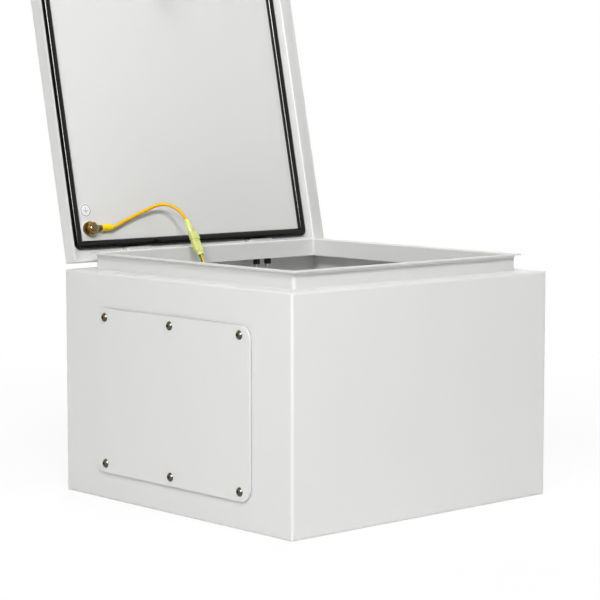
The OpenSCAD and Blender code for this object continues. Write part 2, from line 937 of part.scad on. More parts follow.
module door_ring_terminal() {
    color("lightgray")
        at_door_earth()
            ring_terminal();
}

module door_terminal_sleeve() {
    color("gold")
        at_door_earth()
            terminal_sleeve();
}

// Lead from the door's ring terminal to the socket connector
module earth_lead_door() {
    lead_start = [door_earth_x + barrel_end, door_earth_y, panel_z - barrel_lift];
    sleeve_exit = lead_start + [lead_seat, 0, 0];
    route = [for (p = concat(door_lead_route, [socket_start, lead_in_socket])) from_pin(p)];
    color("orange")
        swept_tube(concat([opened(lead_start), opened(sleeve_exit)], route), lead_d);
}

// Socket half of the push-on joint: barrel and a shell with a pocket for the tab
module lead_socket_connector() {
    reach = norm(connectors_meet - socket_start);
    color("khaki")
        along(from_pin(socket_start), from_pin(connectors_meet))
            difference() {
                union() {
                    cylinder(d = connector_barrel_d, h = socket_barrel_l + eps);
                    translate([0, 0, socket_barrel_l])
                        linear_extrude(reach - socket_barrel_l)
                            rounded_rect(connector_t, connector_w, shell_r);
                }
                lead_bore();
                translate([0, 0, reach - tab_l - tab_play])
                    linear_extrude(tab_l + tab_play + eps)
                        square([tab_t + 2 * tab_play, tab_w + 2 * tab_play], center = true);
            }
}

// Lock body: outside flange and the barrel through the panel
module lock_housing() {
    color("silver")
        at_lock()
            difference() {
                union() {
                    translate([0, 0, lock_seal_t])
                        cylinder(d = lock_flange_d, h = lock_flange_t);
                    translate([0, 0, lock_barrel_end])
                        cylinder(d = lock_barrel_d, h = lock_seal_t + lock_flange_t - lock_barrel_end);
                }
                translate([0, 0, lock_barrel_end - eps])
                    cylinder(d = lock_bore_d, h = lock_seal_t + lock_flange_t - lock_barrel_end + 2 * eps);
            }
}

// Seal between the lock's flange and the door
module lock_seal() {
    color("#202020")
        at_lock()
            ring(lock_flange_d - 1, lock_barrel_d + 2 * fit, lock_seal_t);
}

// Hexagon nut that holds the lock on the panel
module lock_nut() {
    color("silver")
        at_lock()
            translate([0, 0, -sheet])
                rotate([180, 0, 0])
                    difference() {
                        hexagon(lock_nut_af, lock_nut_h);
                        translate([0, 0, -eps])
                            cylinder(d = lock_barrel_d + 2 * fit, h = lock_nut_h + 2 * eps);
                    }
}

// Turning insert: key well with a two-bit post, and a square for the cam
module lock_insert() {
    top = lock_seal_t + lock_flange_t - eps;
    color("dimgray")
        at_lock()
            difference() {
                union() {
                    difference() {
                        translate([0, 0, cam_top])
                            cylinder(d = lock_insert_d, h = top - cam_top);
                        translate([0, 0, top - key_well_depth])
                            cylinder(d = key_well_d, h = key_well_depth + eps);
                    }
                    translate([0, 0, top - key_well_depth - eps])
                        cylinder(d = key_post_d, h = key_well_depth);
                    translate([-key_bit_l / 2, -key_bit_w / 2, top - key_well_depth - eps])
                        cube([key_bit_l, key_bit_w, key_well_depth]);
                    translate([-cam_square / 2, -cam_square / 2, cam_top - cam_t])
                        cube([cam_square, cam_square, cam_t + eps]);
                }
                translate([0, 0, cam_top - cam_t - eps])
                    cylinder(d = cam_screw_d + 2 * fit, h = cam_screw_l + eps);
            }
}

// Cam that turns under the ledge
module lock_cam() {
    hole = cam_square + 2 * fit;
    color("silver")
        at_lock()
            translate([0, 0, cam_top - cam_t])
                linear_extrude(cam_t)
                    difference() {
                        union() {
                            circle(d = cam_w);
                            translate([0, -cam_w / 2])
                                square([cam_reach - cam_w / 2, cam_w]);
                            translate([cam_reach - cam_w / 2, 0])
                                circle(d = cam_w);
                        }
                        square([hole, hole], center = true);
                    }
}

// Screw that holds the cam on the insert
module lock_cam_screw() {
    color("silver")
        at_lock()
            translate([0, 0, cam_top - cam_t])
                rotate([180, 0, 0]) {
                    cylinder(d = cam_washer_d, h = cam_washer_t);
                    translate([0, 0, cam_washer_t - fit])
                        hexagon(cam_screw_af, cam_screw_head_h);
                    translate([0, 0, -cam_screw_grip])
                        cylinder(d = cam_screw_d, h = cam_screw_grip + cam_washer_t);
                }
}

enclosure_body();
gland_plate();
gland_seal();
gland_screws();
gland_rivet_nuts();
mounting_plate();
mounting_studs();
mounting_nuts();
hinge_base_left();
hinge_base_right();
hinge_pin_left();
hinge_pin_right();
hinge_nuts();
body_earth_stud();
body_earth_washer();
body_earth_nut();
body_ring_terminal();
body_terminal_sleeve();
earth_lead_body();
lead_tab_connector();
door_panel();
door_seal();
hinge_leaf_left();
hinge_leaf_right();
door_earth_stud();
door_earth_washer();
door_earth_nut();
door_ring_terminal();
door_terminal_sleeve();
earth_lead_door();
lead_socket_connector();
lock_housing();
lock_seal();
lock_nut();
lock_insert();
lock_cam();
lock_cam_screw();
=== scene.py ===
"""Dresses the folded-steel wall enclosure.

It adds the finishes, the earth lead, the threads, the earth sign, the camera and the studio.
Sizes are in metres.
"""

import json
import logging
import math
from collections.abc import Callable, Sequence
from dataclasses import dataclass, field
from enum import Enum
from functools import cache

import bpy
from mathutils import Matrix, Vector


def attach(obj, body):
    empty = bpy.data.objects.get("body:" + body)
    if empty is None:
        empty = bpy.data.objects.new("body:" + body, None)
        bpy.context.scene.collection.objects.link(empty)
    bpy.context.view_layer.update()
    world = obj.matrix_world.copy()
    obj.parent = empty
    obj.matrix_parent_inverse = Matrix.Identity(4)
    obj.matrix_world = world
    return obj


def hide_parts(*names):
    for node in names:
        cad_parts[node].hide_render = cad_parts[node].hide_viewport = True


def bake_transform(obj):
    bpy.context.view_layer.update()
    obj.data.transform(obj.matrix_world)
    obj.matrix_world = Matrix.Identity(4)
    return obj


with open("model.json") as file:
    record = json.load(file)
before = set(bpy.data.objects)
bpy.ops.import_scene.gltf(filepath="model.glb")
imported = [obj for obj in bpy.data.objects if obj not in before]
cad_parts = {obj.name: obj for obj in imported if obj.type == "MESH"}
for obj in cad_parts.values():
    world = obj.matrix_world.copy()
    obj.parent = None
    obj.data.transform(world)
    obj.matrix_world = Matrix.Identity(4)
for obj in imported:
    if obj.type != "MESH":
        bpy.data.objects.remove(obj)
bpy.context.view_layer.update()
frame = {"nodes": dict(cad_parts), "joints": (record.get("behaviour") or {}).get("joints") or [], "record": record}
LOG = logging.getLogger("wall_enclosure")

Colour = tuple[float, float, float]
Point = tuple[float, float, float]
Piece = bpy.types.Object
Nodes = bpy.types.NodeTree
Socket = bpy.types.NodeSocket

# A corner that lies this near to a plane is on it
TOUCH = 1e-6
# An edge that turns by more than this is sharp
SHARP_TURN = math.radians(35.0)
QUARTER_TURN = math.pi / 2
HALF_TURN = math.pi


class Body(Enum):
    """The bodies that pieces ride on."""

    ENCLOSURE = "enclosure"
    DOOR = "door"


class Grain(Enum):
    """The fine relief of a surface."""

    PEBBLE = "pebble"
    BRUSHED = "brushed"
    SPANGLE = "spangle"
    SKIN = "skin"
    MOULDED = "moulded"


class Shows(Enum):
    """The surfaces that a lamp lights."""

    BOTH = "both"
    MATT = "matt"
    GLOSS = "gloss"


class Fuse(Enum):
    """The ways to combine two closed shapes."""

    ADD = "UNION"
    CUT = "DIFFERENCE"


def worked_out(tree: Nodes, operation: str, *values: Socket | float) -> Socket:
    """Adds one step of arithmetic to some nodes.

    Args:
        tree: The nodes.
        operation: The step's name in Blender.
        values: What goes into it, each a socket or a number.

    Returns:
        The socket with the result.
    """
    node = tree.nodes.new("ShaderNodeMath")
    node.operation = operation
    for place, value in zip(node.inputs, values):
        if isinstance(value, Socket):
            tree.links.new(value, place)
        else:
            place.default_value = value
    return node.outputs["Value"]


def ranged(
    tree: Nodes,
    value: Socket,
    start: tuple[float, float] = (0.0, 1.0),
    end: tuple[float, float] = (0.0, 1.0),
) -> Socket:
    """Moves a value from one range to another and keeps it in there.

    Args:
        tree: The nodes.
        value: The socket with the value.
        start: The range that it comes from.
        end: The range that it goes to.

    Returns:
        The socket with the moved value.
    """
    node = tree.nodes.new("ShaderNodeMapRange")
    for label, limit in zip(("From Min", "From Max", "To Min", "To Max"), (*start, *end)):
        node.inputs[label].default_value = limit
    tree.links.new(value, node.inputs["Value"])
    return node.outputs["Result"]


BRUSHED_STRETCH: Point = (1.0, 1.0, 0.06)
PEBBLE_DETAIL = 3.0
PLAIN_DETAIL = 2.0
LEAST_ROUGHNESS = 0.02


@dataclass(frozen=True)
class Finish:
    """One surface finish, with fine colour, gloss and relief that vary over the surface.

    Colours are linear.
    """

    name: str
    colour: Colour
    roughness: float
    grain: Grain = Grain.MOULDED
    grain_size: float = 0.001
    grain_depth: float = 0.00002
    tint_spread: float = 0.03
    gloss_spread: float = 0.05
    metallic: float = 0.0
    specular: float = 0.5
    transmission: float = 0.0
    subsurface: float = 0.0
    subsurface_depth: float = 0.002

    def dress(self, piece: Piece) -> None:
        """Gives a piece this finish all over."""
        piece.data.materials.clear()
        piece.data.materials.append(self.material())

    @cache
    def material(self) -> bpy.types.Material:
        """Makes the finish's material at the first call.

        Returns:
            The one material of this finish.
        """
        material = bpy.data.materials.new(self.name)
        material.use_nodes = True
        tree = material.node_tree
        shader = tree.nodes["Principled BSDF"]
        for label, value in (
            ("Metallic", self.metallic),
            ("Specular IOR Level", self.specular),
            ("Transmission Weight", self.transmission),
            ("Subsurface Weight", self.subsurface),
            ("Subsurface Scale", self.subsurface_depth),
        ):
            shader.inputs[label].default_value = value
        grain = self.grain_value(tree)
        relief = tree.nodes.new("ShaderNodeBump")
        relief.inputs["Distance"].default_value = self.grain_depth
        tree.links.new(grain, relief.inputs["Height"])
        smoothest = max(self.roughness - self.gloss_spread, LEAST_ROUGHNESS)
        for label, socket in (
            ("Base Color", self.colour_value(tree, grain)),
            ("Roughness", ranged(tree, grain, end=(smoothest, self.roughness + self.gloss_spread))),
            ("Normal", relief.outputs["Normal"]),
        ):
            tree.links.new(socket, shader.inputs[label])
        return material

    def grain_value(self, tree: Nodes) -> Socket:
        """Adds the texture that gives the grain.

        Args:
            tree: The material's nodes.

        Returns:
            The socket with the grain's height, from 0 to 1.
        """
        place = tree.nodes.new("ShaderNodeTexCoord")
        stretch = tree.nodes.new("ShaderNodeMapping")
        if self.grain is Grain.BRUSHED:
            stretch.inputs["Scale"].default_value = BRUSHED_STRETCH
        tree.links.new(place.outputs["Object"], stretch.inputs["Vector"])
        if self.grain is Grain.SPANGLE:
            texture = tree.nodes.new("ShaderNodeTexVoronoi")
            shade = tree.nodes.new("ShaderNodeSeparateColor")
            tree.links.new(texture.outputs["Color"], shade.inputs["Color"])
            value = shade.outputs[0]
        else:
            texture = tree.nodes.new("ShaderNodeTexNoise")
            detail = PEBBLE_DETAIL if self.grain is Grain.PEBBLE else PLAIN_DETAIL
            texture.inputs["Detail"].default_value = detail
            value = texture.outputs[0]
        texture.inputs["Scale"].default_value = 1.0 / self.grain_size
        tree.links.new(stretch.outputs["Vector"], texture.inputs["Vector"])
        return value

    def colour_value(self, tree: Nodes, grain: Socket) -> Socket:
        """Adds the colour, a little darker in the grain's hollows."""
        return self.tinted(tree, grain, self.colour)

    def tinted(self, tree: Nodes, grain: Socket, colour: Colour) -> Socket:
        """Spreads one colour round itself by the grain.

        Args:
            tree: The material's nodes.
            grain: The grain's height.
            colour: The middle colour.

        Returns:
            The socket with the spread colour.
        """
        ramp = tree.nodes.new("ShaderNodeValToRGB")
        low, high = ramp.color_ramp.elements
        low.color = (*(c * (1.0 - self.tint_spread) for c in colour), 1.0)
        high.color = (*(min(c * (1.0 + self.tint_spread), 1.0) for c in colour), 1.0)
        tree.links.new(grain, ramp.inputs["Fac"])
        return ramp.outputs["Color"]


@dataclass(frozen=True)
class MetalFinish(Finish):
    """Bare or plated metal."""

    grain_depth: float = 0.000004
    gloss_spread: float = 0.06
    metallic: float = 1.0


@dataclass(frozen=True)
class StripedFinish(Finish):
    """Insulation with a stripe along it, which follows the piece's own map round the lead.

    The stripe's middle, width and soft edge are shares of the way round.
    """

    stripe: Colour = (0.02, 0.2, 0.04)
    stripe_middle: float = 0.5
    stripe_share: float = 0.3
    stripe_edge: float = 0.02

    def colour_value(self, tree: Nodes, grain: Socket) -> Socket:
        """Adds the two colours of the insulation.

        Args:
            tree: The material's nodes.
            grain: The grain's height.

        Returns:
            The socket with the colour.
        """
        around = tree.nodes.new("ShaderNodeUVMap")
        around.uv_map = Tube.MAP
        parts = tree.nodes.new("ShaderNodeSeparateXYZ")
        tree.links.new(around.outputs["UV"], parts.inputs["Vector"])
        turn = worked_out(tree, "FRACT", parts.outputs["X"])
        offset = worked_out(tree, "SUBTRACT", turn, self.stripe_middle)
        reach = worked_out(tree, "ABSOLUTE", offset)
        half = self.stripe_share / 2
        edge = ranged(tree, reach, start=(half - self.stripe_edge, half + self.stripe_edge))
        mix = tree.nodes.new("ShaderNodeMix")
        mix.data_type = "RGBA"
        tree.links.new(edge, mix.inputs[0])
        sockets = [s for s in mix.inputs if s.type == "RGBA"]
        for colour, socket in zip((self.stripe, self.colour), sockets):
            tree.links.new(self.tinted(tree, grain, colour), socket)
        return next(s for s in mix.outputs if s.type == "RGBA")


FINISHES: dict[str, Finish] = {
    "powder_coat": Finish(
        "light_grey_powder_coat", (0.7, 0.7, 0.69), roughness=0.42, tint_spread=0.012,
        grain=Grain.PEBBLE, grain_size=0.0012, grain_depth=0.00003,
    ),
    "galvanised_steel": MetalFinish(
        "galvanised_sheet", (0.56, 0.58, 0.6), roughness=0.38, gloss_spread=0.05, tint_spread=0.05,
        grain=Grain.SPANGLE, grain_size=0.007,
    ),
    "zinc_plated_steel": MetalFinish(
        "bright_zinc", (0.5, 0.5, 0.5), roughness=0.34, tint_spread=0.06,
        grain=Grain.BRUSHED, grain_size=0.0005,
    ),
    "yellow_passivated_steel": MetalFinish(
        "gold_passivated_zinc", (0.22, 0.133, 0.036), roughness=0.17, tint_spread=0.22,
        grain=Grain.SKIN, grain_size=0.0022, grain_depth=0.000006,
    ),
    "black_steel": MetalFinish(
        "black_oxide", (0.016, 0.016, 0.018), roughness=0.36, gloss_spread=0.08, tint_spread=0.2,
        metallic=0.4, grain=Grain.SKIN, grain_size=0.0008, grain_depth=0.00001,
    ),
    "tinned_copper": MetalFinish(
        "matt_tin", (0.2, 0.185, 0.16), roughness=0.42, tint_spread=0.08,
        grain=Grain.BRUSHED, grain_size=0.0006, grain_depth=0.000005,
    ),
    "black_foam": Finish(
        "foamed_seal_skin", (0.002, 0.002, 0.002), roughness=0.09, gloss_spread=0.02, tint_spread=0.2,
        specular=0.22, grain=Grain.SKIN, grain_size=0.006, grain_depth=0.000004,
    ),
    "yellow_sleeve": Finish(
        "yellow_soft_plastic", (0.98, 0.66, 0.004), roughness=0.3, specular=0.4, subsurface=0.05,
        grain_size=0.0012,
    ),
    "lead_insulation": StripedFinish(
        "striped_insulation", (0.82, 0.46, 0.002), roughness=0.32, tint_spread=0.04, specular=0.15,
        subsurface=0.03, grain_size=0.0015,
    ),
    "clear_nylon": Finish(
        "clear_yellow_nylon", (0.76, 0.82, 0.3), roughness=0.3, tint_spread=0.06, transmission=0.25,
        subsurface=0.3, grain_size=0.002,
    ),
    "zinc_casting": MetalFinish(
        "matt_zinc_casting", (0.48, 0.49, 0.5), roughness=0.44, tint_spread=0.05,
        grain=Grain.PEBBLE, grain_size=0.0006, grain_depth=0.00001,
    ),
}
PIN_FINISH = MetalFinish(
    "satin_zinc", (0.8, 0.8, 0.79), roughness=0.5, tint_spread=0.04, grain=Grain.BRUSHED, grain_size=0.0006
)
NODE_FINISHES: dict[str, Finish] = {
    "hinge_pin_left": PIN_FINISH,
    "hinge_pin_right": PIN_FINISH,
    "gland_screws": MetalFinish(
        "polished_nickel", (0.1, 0.088, 0.07), roughness=0.27, gloss_spread=0.04, tint_spread=0.15,
        grain=Grain.SKIN, grain_size=0.002, grain_depth=0.000003,
    ),
}
STUD_FINISH = MetalFinish(
    "dull_brown_zinc", (0.15, 0.11, 0.06), roughness=0.28, tint_spread=0.15,
    grain=Grain.BRUSHED, grain_size=0.0006,
)
SIGN_PAPER = Finish("white_sign_film", (0.86, 0.86, 0.85), roughness=0.3, tint_spread=0.01, grain_size=0.004)
SIGN_INK = Finish("grey_sign_ink", (0.27, 0.29, 0.34), roughness=0.4, tint_spread=0.08, grain_size=0.0008)


def dress_frame() -> None:
    """Gives every part of the frame its own finish, or else that of its material slot."""
    for part in frame["record"]["subparts"]:
        finish = NODE_FINISHES.get(part["node"], FINISHES[part["material_slot"]])
        finish.dress(frame["nodes"][part["node"]])
        LOG.info("dressed %s as %s", part["node"], finish.name)


class Bench:
    """The modelling moves that the pieces share. Each works on the one active mesh."""

    @staticmethod
    def activate(piece: Piece) -> None:
        """Selects one piece alone and makes it active.

        Args:
            piece: The piece.
        """
        bpy.ops.object.select_all(action="DESELECT")
        piece.select_set(True)
        bpy.context.view_layer.objects.active = piece

    @staticmethod
    def named(name: str) -> Piece:
        """Names the active object, with its place and size put into its mesh.

        Args:
            name: The name.

        Returns:
            The object.
        """
        piece = bpy.context.view_layer.objects.active
        bpy.ops.object.transform_apply(location=True, rotation=True, scale=True)
        piece.name = name
        piece.data.name = name
        return piece

    @staticmethod
    def added(name: str, mesh: bpy.types.Mesh) -> Piece:
        """Adds a piece with a mesh that was made by hand.

        Args:
            name: The piece's name.
            mesh: Its mesh.

        Returns:
            The new piece.
        """
        piece = bpy.data.objects.new(name, mesh)
        bpy.context.scene.collection.objects.link(piece)
        return piece

    @classmethod
    def cylinder(cls, name: str, radius: float, low: float, high: float, sides: int = 32) -> Piece:
        """Adds a cylinder along Z.

        Args:
            name: The piece's name.
            radius: Its radius.
            low: Where it starts on Z.
            high: Where it ends on Z.
            sides: The sides of its round.

        Returns:
            The new piece.
        """
        bpy.ops.object.select_all(action="DESELECT")
        middle = (0.0, 0.0, (low + high) / 2)
        bpy.ops.mesh.primitive_cylinder_add(vertices=sides, radius=radius, depth=high - low, location=middle)
        return cls.named(name)

    @classmethod
    def block(cls, name: str, size: Point, middle: Point) -> Piece:
        """Adds a block.

        Args:
            name: The piece's name.
            size: Its three sides.
            middle: Its middle.

        Returns:
            The new piece.
        """
        bpy.ops.object.select_all(action="DESELECT")
        bpy.ops.mesh.primitive_cube_add(size=1.0, location=middle, scale=size)
        return cls.named(name)

    @classmethod
    def pick(cls, piece: Piece, test: Callable[[Vector], bool]) -> None:
        """Opens a piece for editing with the corners selected that pass a test.

        Args:
            piece: The piece.
            test: Says whether a corner at a place is selected.
        """
        cls.activate(piece)
        bpy.ops.object.mode_set(mode="EDIT")
        bpy.ops.mesh.select_mode(type="VERT")
        bpy.ops.mesh.select_all(action="DESELECT")
        bpy.ops.object.mode_set(mode="OBJECT")
        for corner in piece.data.vertices:
            corner.select = test(corner.co)
        bpy.ops.object.mode_set(mode="EDIT")
        bpy.ops.mesh.select_mode(type="VERT")

    @staticmethod
    def close() -> None:
        """Ends the editing of a mesh."""
        bpy.ops.object.mode_set(mode="OBJECT")

    @classmethod
    def bore(cls, piece: Piece, wall: float, depth: float) -> None:
        """Sinks a blind bore into the face at the piece's foot.

        Args:
            piece: The piece, standing on Z = 0.
            wall: The wall that stays round the bore.
            depth: The bore's depth.
        """
        cls.pick(piece, lambda spot: spot.z < TOUCH)
        bpy.ops.mesh.inset(thickness=wall)
        bpy.ops.mesh.extrude_region_move(TRANSFORM_OT_translate={"value": (0.0, 0.0, depth)})
        cls.close()

    @classmethod
    def apply(cls, piece: Piece, modifier: bpy.types.Modifier) -> None:
        """Applies a modifier."""
        cls.activate(piece)
        bpy.ops.object.modifier_apply(modifier=modifier.name)

    @classmethod
    def ease(cls, piece: Piece, width: float, segments: int = 2) -> None:
        """Rounds a piece's sharp edges.

        Args:
            piece: The piece.
            width: The width of the rounding.
            segments: The steps of the rounding.
        """
        bevel = piece.modifiers.new("ease", "BEVEL")
        bevel.width = width
        bevel.segments = segments
        bevel.limit_method = "ANGLE"
        bevel.angle_limit = SHARP_TURN
        cls.apply(piece, bevel)

    @classmethod
    def fuse(cls, piece: Piece, tool: Piece, way: Fuse) -> None:
        """Adds a second shape to a piece, or cuts it away, and removes the second shape.

        Args:
            piece: The piece that stays.
            tool: The shape that is used up.
            way: Whether it is added or cut.
        """
        boolean = piece.modifiers.new("fuse", "BOOLEAN")
        boolean.operation = way.value
        boolean.solver = "EXACT"
        boolean.object = tool
        cls.apply(piece, boolean)
        bpy.data.objects.remove(tool, do_unlink=True)

    @classmethod
    def join(cls, pieces: Sequence[Piece]) -> Piece:
        """Joins several pieces into the first one.

        Args:
            pieces: The pieces.

        Returns:
            The joined piece.
        """
        cls.activate(pieces[0])
        for piece in pieces:
            piece.select_set(True)
        bpy.ops.object.join()
        return pieces[0]

    @classmethod
    def finish(cls, piece: Piece, place: Matrix) -> None:
        """Smooths a piece's rounds and puts it in its place.

        Args:
            piece: The piece, modelled about the origin.
            place: Where it goes in the frame.
        """
        cls.activate(piece)
        bpy.ops.object.shade_smooth_by_angle(angle=SHARP_TURN)
        piece.data.transform(place)


@dataclass(frozen=True)
class DoorHinge:
    """The hinge line, the swing between the closed and the open door, and the height of its closed inside."""

    pin: Vector
    swing: float
    panel: float = 0.2905

    @classmethod
    def from_frame(cls) -> "DoorHinge":
        """Reads the hinge from the frame."""
        joint = next(j for j in frame["joints"] if j["name"] == "door_hinge")
        return cls(Vector(joint["pos_m"]), math.radians(joint["range_deg"][1]))

    def opened(self) -> Matrix:
        """Gives the move from the closed door's place to the open one."""
        turn = Matrix.Rotation(-self.swing, 4, "X")
        return Matrix.Translation(self.pin) @ turn @ Matrix.Translation(-self.pin)

    def on_door(self, x: float, y: float) -> Matrix:
        """Gives a frame on the open door's inside, at a place of the closed door.

        Args:
            x: Place along the hinge line.
            y: Place towards the hinges.

        Returns:
            The frame, with Z off the panel and Y away from the hinges.
        """
        return self.opened() @ Matrix.Translation((x, y, self.panel)) @ Matrix.Rotation(HALF_TURN, 4, "X")


@dataclass
class TerminalSleeve:
    """The soft sleeve over a ring terminal's barrel, pinched by the crimp and drawn in round the lead.

    The pinch's middle and its reach to either side are shares of the length.
    """

    start: float = 0.016
    length: float = 0.017
    radius: float = 0.0042
    wall: float = 0.001
    edge: float = 0.0003
    nose_radius: float = 0.0033
    nose_length: float = 0.0035
    pinch_depth: float = 0.0004
    pinch_middle: float = 0.42
    pinch_reach: float = 0.16
    lift: float = 0.0047
    sides: int = 40
    cuts: int = 16

    def build(self, name: str, node: str, stud: Matrix, body: Body) -> None:
        """Builds one sleeve.

        Args:
            name: The piece's name.
            node: The node that it stands for.
            stud: The frame of the earth stud, with Z off its face.
            body: The body that carries it.
        """
        piece = self.skin(name)
        wall = piece.modifiers.new("wall", "SOLIDIFY")
        wall.thickness = self.wall
        wall.offset = -1.0
        Bench.apply(piece, wall)
        Bench.ease(piece, self.edge)
        along = Matrix.Translation((self.start, 0.0, self.lift)) @ Matrix.Rotation(QUARTER_TURN, 4, "Y")
        Bench.finish(piece, stud @ along)
        FINISHES["yellow_sleeve"].dress(piece)
        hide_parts(node)
        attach(piece, body.value)
        LOG.info("built %s", name)

    def skin(self, name: str) -> Piece:
        """Makes the sleeve's outer skin between its two end rings.

        Args:
            name: The piece's name.

        Returns:
            The skin, open at both ends.
        """
        rings = []
        for z in (0.0, self.length):
            bpy.ops.object.select_all(action="DESELECT")
            bpy.ops.mesh.primitive_circle_add(vertices=self.sides, radius=self.radius, location=(0.0, 0.0, z))
            rings.append(Bench.named(name))
        piece = Bench.join(rings)
        Bench.pick(piece, lambda spot: True)
        bpy.ops.mesh.bridge_edge_loops(number_cuts=self.cuts)
        bpy.ops.mesh.normals_make_consistent(inside=False)
        Bench.close()
        for corner in piece.data.vertices:
            z = corner.co.z
            past_nose = max(z - (self.length - self.nose_length), 0.0) / self.nose_length
            draw = 1.0 - (1.0 - self.nose_radius / self.radius) * past_nose**2
            off = min(abs(z / self.length - self.pinch_middle) / self.pinch_reach, 1.0)
            pinch = self.pinch_depth / self.radius * (1.0 - off**2) ** 2
            squeeze = 1.0 - pinch * (corner.co.x / self.radius) ** 2
            corner.co.x *= draw * squeeze
            corner.co.y *= draw
        return piece


@dataclass
class ThreadedStud:
    """A weld stud with a true screw thread."""

    diameter: float = 0.008
    pitch: float = 0.00125
    thread_depth: float = 0.0007
    play: float = 0.00002
    steps: int = 24
    spare_turns: int = 2
    weld: float = 1e-7

    def build(self, length: float, foot: float = 0.0) -> Piece:
        """Builds the threaded rod along Z.

        Args:
            length: Where it ends on Z.
            foot: Where it starts on Z.

        Returns:
            The rod.
        """
        crest = self.diameter / 2 - self.play
        root = crest - self.thread_depth
        start = foot - self.pitch
        profile = [(root, 0.0, start), (crest, 0.0, start + self.pitch / 2), (root, 0.0, start + self.pitch)]
        mesh = bpy.data.meshes.new("threaded_stud")
        mesh.from_pydata(profile, [(0, 1), (1, 2)], [])
        piece = Bench.added("threaded_stud", mesh)
        thread = piece.modifiers.new("thread", "SCREW")
        thread.axis = "Z"
        thread.screw_offset = self.pitch
        thread.iterations = math.ceil((length - foot) / self.pitch) + self.spare_turns
        thread.steps = self.steps
        thread.render_steps = self.steps
        thread.use_merge_vertices = True
        thread.merge_threshold = self.weld
        Bench.apply(piece, thread)
        self.trim(piece, foot, length)
        return piece

    @staticmethod
    def trim(piece: Piece, foot: float, length: float) -> None:
        """Cuts a long thread off square at both ends and closes it.

        Args:
            piece: The thread.
            foot: Where it starts on Z.
            length: Where it ends on Z.
        """
        Bench.pick(piece, lambda spot: True)
        bpy.ops.mesh.remove_doubles(threshold=TOUCH)
        up = (0.0, 0.0, 1.0)
        for z, side in ((foot, "clear_inner"), (length, "clear_outer")):
            bpy.ops.mesh.select_all(action="SELECT")
            bpy.ops.mesh.bisect(plane_co=(0.0, 0.0, z), plane_no=up, use_fill=True, **{side: True})
        bpy.ops.mesh.select_all(action="SELECT")
        bpy.ops.mesh.normals_make_consistent(inside=False)
        Bench.close()

    def settle(self, piece: Piece, name: str, node: str, place: Matrix, body: Body) -> None:
        """Puts a finished stud in its place.

        Args:
            piece: The stud.
            name: Its name.
            node: The node that it stands for.
            place: Its frame, with Z off the face that carries it.
            body: The body that carries it.
        """
        piece.name = name
        Bench.finish(piece, place)
        STUD_FINISH.dress(piece)
        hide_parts(node)
        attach(piece, body.value)
        LOG.info("built %s", name)


@dataclass
class MountingStuds:
    """The four collared studs that carry the mounting plate."""

    reach: float = 0.15
    collar_radius: float = 0.007
    collar_length: float = 0.015
    collar_edge: float = 0.0004
    collar_sides: int = 40
    length: float = 0.029
    sheet: float = 0.0015

    def build(self) -> None:
        """Builds one stud, copies it to the four corners and joins the four."""
        maker = ThreadedStud()
        thread = maker.build(self.length, self.collar_length)
        collar = Bench.cylinder("collar", self.collar_radius, 0.0, self.collar_length, self.collar_sides)
        Bench.ease(collar, self.collar_edge)
        first = Bench.join([thread, collar])
        corners = [(x, y) for x in (-self.reach, self.reach) for y in (-self.reach, self.reach)]
        studs = [first, *(Bench.added("stud", first.data.copy()) for _ in corners[1:])]
        for stud, (x, y) in zip(studs, corners):
            stud.data.transform(Matrix.Translation((x, y, self.sheet)))
        group = Bench.join(studs)
        maker.settle(group, "mounting_plate_studs", "mounting_studs", Matrix.Identity(4), Body.ENCLOSURE)


@dataclass
class EarthPoints:
    """The two earth studs with their sleeves, on the door and on the body."""

    hinge: DoorHinge
    door_x: float = -0.161
    door_y: float = 0.1595
    body_place: Point = (-0.095, 0.1985, 0.19)
    stud_length: float = 0.0123
    sleeve: TerminalSleeve = field(default_factory=TerminalSleeve)

    def mouth(self, body: Body) -> Vector:
        """Gives the place where the lead leaves a sleeve, with the door closed.

        Args:
            body: The body that carries the sleeve.

        Returns:
            The place, from which the lead goes on along X.
        """
        reach = self.sleeve.start + self.sleeve.length
        if body is Body.DOOR:
            return Vector((self.door_x + reach, self.door_y, self.hinge.panel - self.sleeve.lift))
        x, y, z = self.body_place
        return Vector((x + reach, y - self.sleeve.lift, z))

    def build(self) -> None:
        """Builds the studs and the sleeves of both earth points."""
        maker = ThreadedStud()
        on_wall = Matrix.Translation(self.body_place) @ Matrix.Rotation(QUARTER_TURN, 4, "X")
        on_door = self.hinge.on_door(self.door_x, self.door_y)
        for side, stud, body in (("door", on_door, Body.DOOR), ("body", on_wall, Body.ENCLOSURE)):
            self.sleeve.build(f"{side}_sleeve", f"{side}_terminal_sleeve", stud, body)
            rod = maker.build(self.stud_length)
            maker.settle(rod, f"{side}_threaded_stud", f"{side}_earth_stud", stud, body)


